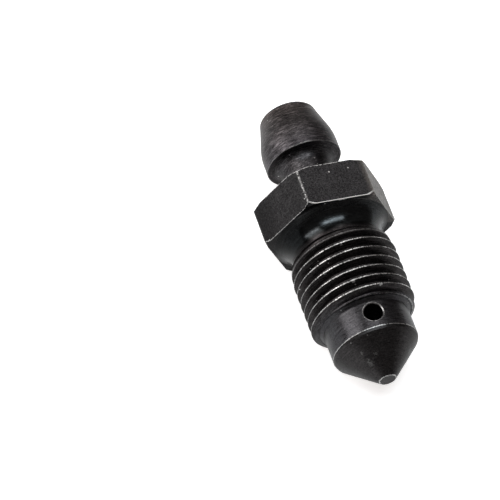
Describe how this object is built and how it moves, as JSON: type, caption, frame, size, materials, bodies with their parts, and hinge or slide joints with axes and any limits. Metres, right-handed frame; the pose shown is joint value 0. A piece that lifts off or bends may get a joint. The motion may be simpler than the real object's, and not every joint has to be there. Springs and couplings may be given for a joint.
{
  "type": "bleeder screw",
  "caption": "Bleeder screw turned from hexagon bar: barbed hose nipple, wrench hexagon, relieved neck, threaded shank, cross-drilled pilot and sealing cone.",
  "frame": {"origin": "on the screw's axis, in the plane of the hexagon's underside, where the concave relief starts", "axes": "+X along the axis to the sealing cone's tip, the way the screw goes in; -X to the hose nipple; +Z out of the hexagon flat that faces up"},
  "size_m": [0.0294, 0.0126, 0.011],
  "materials": {
    "black_steel": "black oxide, satin, worn bright along the edges and thread crests"
  },
  "bodies": {
    "root": {"bleeder_screw": "black_steel"}
  },
  "joints": []
}
